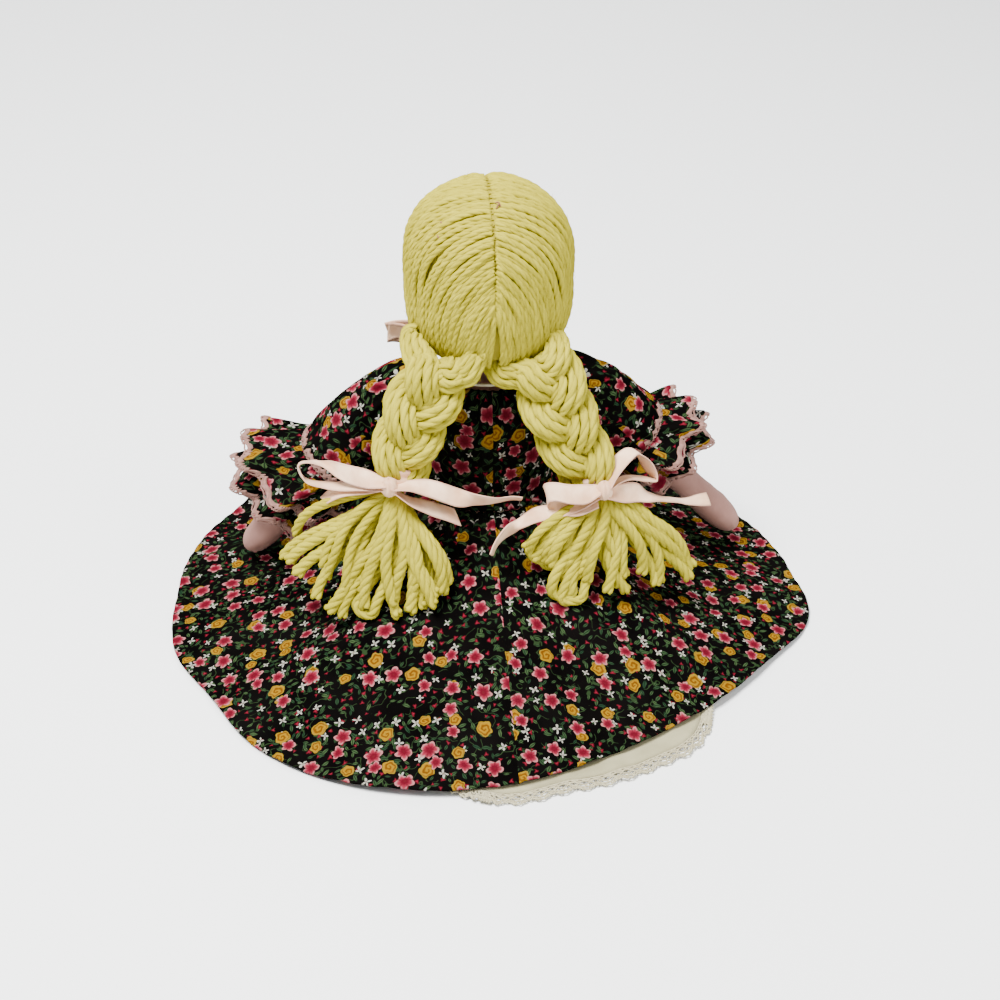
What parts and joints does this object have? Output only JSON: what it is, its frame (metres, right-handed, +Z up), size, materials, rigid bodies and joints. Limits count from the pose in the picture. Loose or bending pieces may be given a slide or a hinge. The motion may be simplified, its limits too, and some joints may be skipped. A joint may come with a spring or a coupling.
{
  "type": "cloth doll",
  "caption": "Seated cloth doll with yarn plaits tied in ribbon bows, a gathered floral dress with ruffled sleeves, a lace-edged petticoat, drawers and soft shoes.",
  "frame": {"origin": "middle of the flat seat of the drawers, on the surface that the doll sits on", "axes": "+Z up, -Y the way the doll faces with its legs forward, +X the doll's left"},
  "size_m": [0.2612, 0.2806, 0.1835],
  "materials": {
    "body_cloth": "matte",
    "print_cotton": "matte",
    "white_cotton": "matte",
    "lace": "matte",
    "yarn": "matte",
    "ribbon": "satin",
    "picot_trim": "matte",
    "eye_thread": "satin",
    "mouth_thread": "satin",
    "shoe_felt": "matte"
  },
  "bodies": {
    "torso": {"torso": "body_cloth", "bodice": "print_cotton", "skirt": "print_cotton", "petticoat": "white_cotton", "petticoat_lace": "lace", "collar_lace": "lace", "neck_bow": "ribbon", "drawers": "white_cotton"},
    "head": {"head": "body_cloth", "hair_cap": "yarn", "eye_left": "eye_thread", "eye_right": "eye_thread", "mouth": "mouth_thread"},
    "plait_left": {"plait_left": "yarn", "tassel_left": "yarn", "bow_left": "ribbon"},
    "plait_right": {"plait_right": "yarn", "tassel_right": "yarn", "bow_right": "ribbon"},
    "arm_left": {"arm_left": "body_cloth", "sleeve_left": "print_cotton", "outer_flounce_left": "print_cotton", "inner_flounce_left": "print_cotton", "elbow_trim_left": "picot_trim", "outer_flounce_trim_left": "picot_trim", "inner_flounce_trim_left": "picot_trim"},
    "arm_right": {"arm_right": "body_cloth", "sleeve_right": "print_cotton", "outer_flounce_right": "print_cotton", "inner_flounce_right": "print_cotton", "elbow_trim_right": "picot_trim", "outer_flounce_trim_right": "picot_trim", "inner_flounce_trim_right": "picot_trim"},
    "leg_left": {"leg_left": "body_cloth", "drawers_leg_left": "white_cotton", "shoe_left": "shoe_felt"},
    "leg_right": {"leg_right": "body_cloth", "drawers_leg_right": "white_cotton", "shoe_right": "shoe_felt"}
  },
  "joints": [
    {"name": "head_nod", "type": "hinge", "parent": "torso", "child": "head", "pos_m": [0, 0, 0.112], "axis": [1, 0, 0], "range_deg": [0, 12]},
    {"name": "plait_left_swing", "type": "hinge", "parent": "head", "child": "plait_left", "pos_m": [0.021, 0.027, 0.119], "axis": [1, 0, 0], "range_deg": [0, 60]},
    {"name": "plait_right_swing", "type": "hinge", "parent": "head", "child": "plait_right", "pos_m": [-0.019, 0.027, 0.119], "axis": [1, 0, 0], "range_deg": [0, 60]},
    {"name": "shoulder_left", "type": "hinge", "parent": "torso", "child": "arm_left", "pos_m": [0.033, 0, 0.098], "axis": [0, -1, 0], "range_deg": [0, 50]},
    {"name": "shoulder_right", "type": "hinge", "parent": "torso", "child": "arm_right", "pos_m": [-0.033, 0, 0.098], "axis": [0, 1, 0], "range_deg": [0, 50]},
    {"name": "hip_left", "type": "hinge", "parent": "torso", "child": "leg_left", "pos_m": [0.018, -0.025, 0.013], "axis": [1, 0, 0], "range_deg": [0, 70]},
    {"name": "hip_right", "type": "hinge", "parent": "torso", "child": "leg_right", "pos_m": [-0.018, -0.025, 0.013], "axis": [1, 0, 0], "range_deg": [0, 70]}
  ]
}
